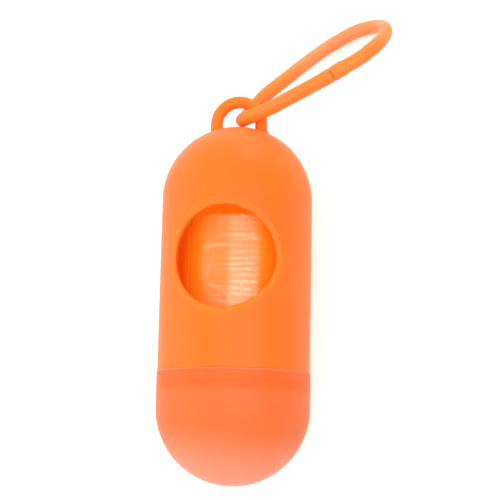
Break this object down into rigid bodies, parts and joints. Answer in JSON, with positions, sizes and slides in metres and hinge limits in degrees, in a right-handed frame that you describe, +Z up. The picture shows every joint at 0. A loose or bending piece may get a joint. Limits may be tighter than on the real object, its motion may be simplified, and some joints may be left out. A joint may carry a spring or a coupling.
{
  "type": "dog poop bag dispenser",
  "caption": "Screw-capped plastic capsule that holds a roll of dog waste bags, with a round window to pull them out by and a plug-in strap looped through its eyelet.",
  "frame": {"origin": "on the surface that the capsule lies on, under the middle of the capsule and its eyelet, with the strap left out", "axes": "+X across the capsule, +Y along it from the cap to the eyelet, +Z up out of the window"},
  "size_m": [0.056, 0.1199, 0.037],
  "materials": {
    "body_plastic": "satin, slightly translucent bright orange",
    "cap_plastic": "satin, translucent salmon orange",
    "bag_film": "thin translucent film, wound tight, with fine creases",
    "core_card": "grey card",
    "strap_rubber": "smooth, soft, slightly translucent orange"
  },
  "bodies": {
    "shell": {"dispenser_body": "body_plastic"},
    "roll_carrier": {"roll_core": "core_card"},
    "roll": {"bag_roll": "bag_film", "first_bag": "bag_film"},
    "cap": {"end_cap": "cap_plastic"},
    "strap": {"strap_cord": "strap_rubber", "strap_plug": "strap_rubber", "strap_socket": "strap_rubber"}
  },
  "joints": [
    {"name": "cap_travel", "type": "slide", "parent": "shell", "child": "roll_carrier", "axis": [0, -1, 0], "range_m": [0, 0.006]},
    {"name": "cap_turn", "type": "hinge", "parent": "roll_carrier", "child": "cap", "pos_m": [0, -0.0294, 0.0185], "axis": [0, -1, 0], "range_deg": [0, 720]},
    {"name": "roll_spin", "type": "hinge", "parent": "roll_carrier", "child": "roll", "pos_m": [0, -0.01, 0.01685], "axis": [0, 1, 0], "continuous": true},
    {"name": "strap_swing", "type": "hinge", "parent": "shell", "child": "strap", "pos_m": [0, 0.04077, 0.0185], "axis": [0, 0, 1], "range_deg": [0, 100]}
  ],
  "couplings": [
    {"joint": "cap_turn", "follows": "cap_travel", "rad_per_m": 2094.4}
  ]
}
